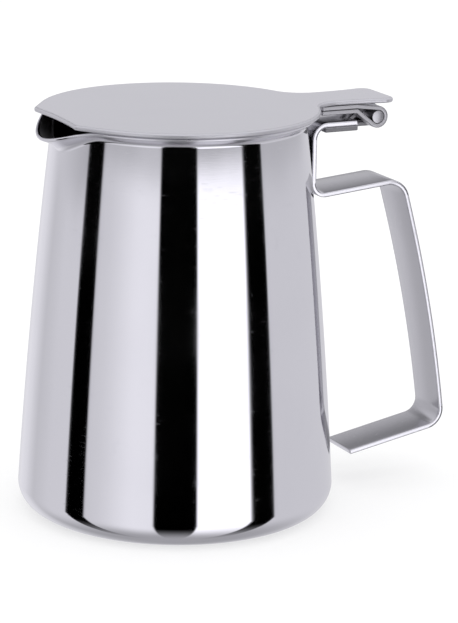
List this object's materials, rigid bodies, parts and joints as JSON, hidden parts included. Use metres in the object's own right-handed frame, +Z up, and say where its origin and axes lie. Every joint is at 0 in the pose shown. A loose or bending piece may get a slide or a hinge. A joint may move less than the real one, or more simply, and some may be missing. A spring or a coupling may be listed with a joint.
{
  "type": "cream jug",
  "caption": "Small lidded cream jug with a tapered sheet steel body, a pressed pouring lip, a hinged flat lid and an open strip handle.",
  "frame": {"origin": "centre of the flat face that the jug stands on", "axes": "+Z up along the body's axis, -X towards the pouring lip, +X towards the handle, +Y along the hinge pin"},
  "size_m": [0.1121, 0.0782, 0.1],
  "materials": {
    "body_steel": "mirror-polished drawn stainless sheet",
    "handle_steel": "mirror-polished stainless strip with rounded edges",
    "lid_steel": "polished stainless plate",
    "strap_steel": "polished stainless strip, folded",
    "pin_steel": "plain drawn stainless rod, ends faced"
  },
  "bodies": {
    "jug": {"body_shell": "body_steel", "handle_strip": "handle_steel", "hinge_pin": "pin_steel"},
    "lid": {"lid_plate": "lid_steel", "lid_hinge_strap": "strap_steel"}
  },
  "joints": [
    {"name": "lid_hinge", "type": "hinge", "parent": "jug", "child": "lid", "pos_m": [0.05133, 0, 0.0952], "axis": [0, 1, 0], "range_deg": [0, 180]}
  ]
}
